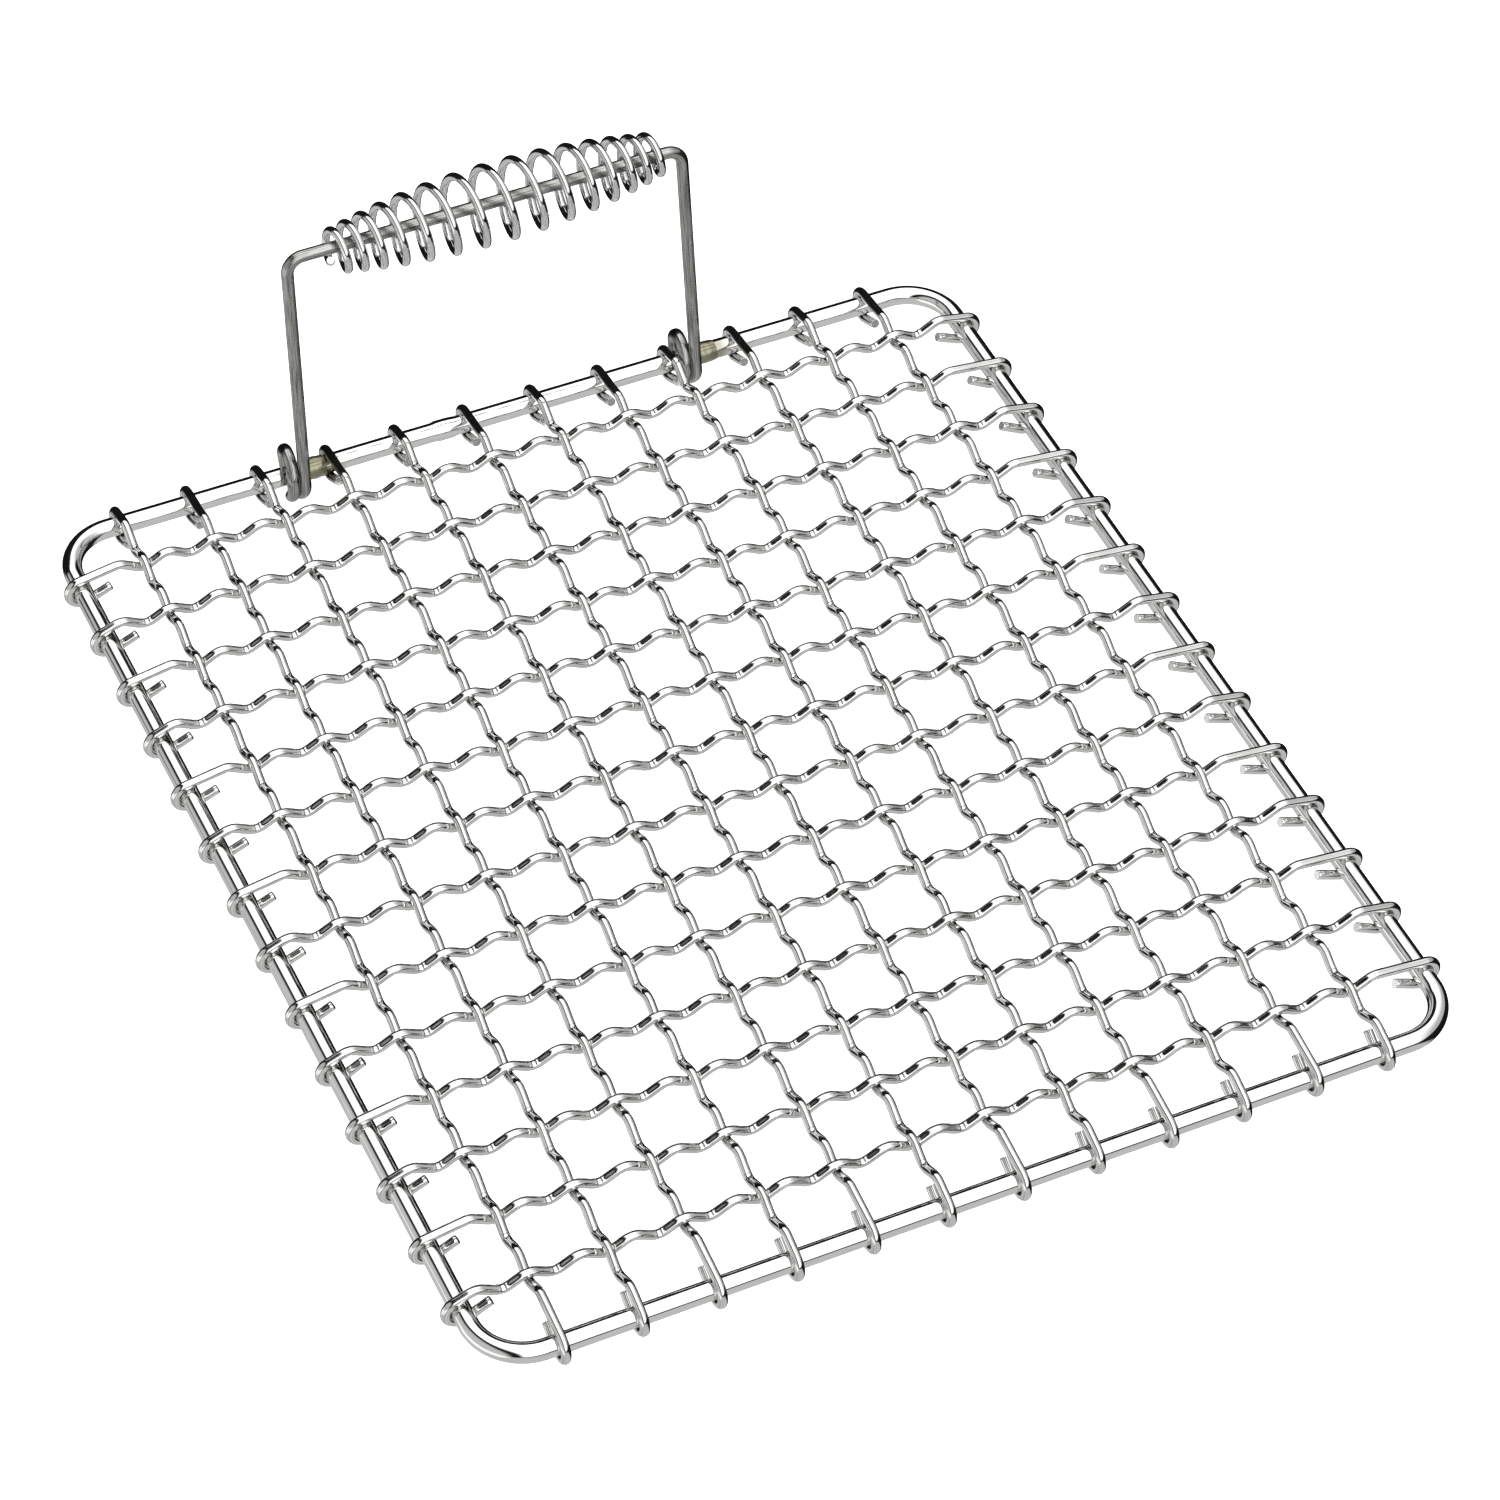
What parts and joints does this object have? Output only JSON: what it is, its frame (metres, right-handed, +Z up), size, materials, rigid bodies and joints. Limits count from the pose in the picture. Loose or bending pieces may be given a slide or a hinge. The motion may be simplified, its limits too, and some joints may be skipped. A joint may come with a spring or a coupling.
{
  "type": "grill net",
  "caption": "Flat rectangular grate of interlocked crimped wires hooked round a rod rim, with a folding wire bail handle and a barrel-shaped coil grip.",
  "frame": {"origin": "midway between the rods of the rim in plan, on the surface that the part rests on", "axes": "+X along the handle and the rim's short way, +Y from the net to the handle along the rim's long way, +Z up from the resting surface"},
  "size_m": [0.2152, 0.2498, 0.0736],
  "materials": {
    "rim_steel": "bright polished stainless steel rod",
    "net_steel": "bright polished stainless steel wire",
    "grip_steel": "bright spring wire",
    "handle_steel": "satin drawn stainless steel rod",
    "weld_tint": "weld bead with a straw-coloured heat tint"
  },
  "bodies": {
    "net": {"frame_ring": "rim_steel", "long_wire_01": "net_steel", "long_wire_02": "net_steel", "long_wire_03": "net_steel", "long_wire_04": "net_steel", "long_wire_05": "net_steel", "long_wire_06": "net_steel", "long_wire_07": "net_steel", "long_wire_08": "net_steel", "long_wire_09": "net_steel", "long_wire_10": "net_steel", "long_wire_11": "net_steel", "long_wire_12": "net_steel", "cross_wire_01": "net_steel", "cross_wire_02": "net_steel", "cross_wire_03": "net_steel", "cross_wire_04": "net_steel", "cross_wire_05": "net_steel", "cross_wire_06": "net_steel", "cross_wire_07": "net_steel", "cross_wire_08": "net_steel", "cross_wire_09": "net_steel", "cross_wire_10": "net_steel", "cross_wire_11": "net_steel", "cross_wire_12": "net_steel", "cross_wire_13": "net_steel", "cross_wire_14": "net_steel", "stop_weld_left": "weld_tint", "stop_weld_right": "weld_tint"},
    "handle": {"handle_bail": "handle_steel"},
    "grip": {"grip_coil": "grip_steel"}
  },
  "joints": [
    {"name": "handle_fold", "type": "hinge", "parent": "net", "child": "handle", "pos_m": [-0.0025, 0.1174, 0.0059], "axis": [-1, 0, 0], "range_deg": [-54, 82]},
    {"name": "grip_spin", "type": "hinge", "parent": "handle", "child": "grip", "pos_m": [-0.0025, 0.11956, 0.06504], "axis": [1, 0, 0], "continuous": true}
  ]
}
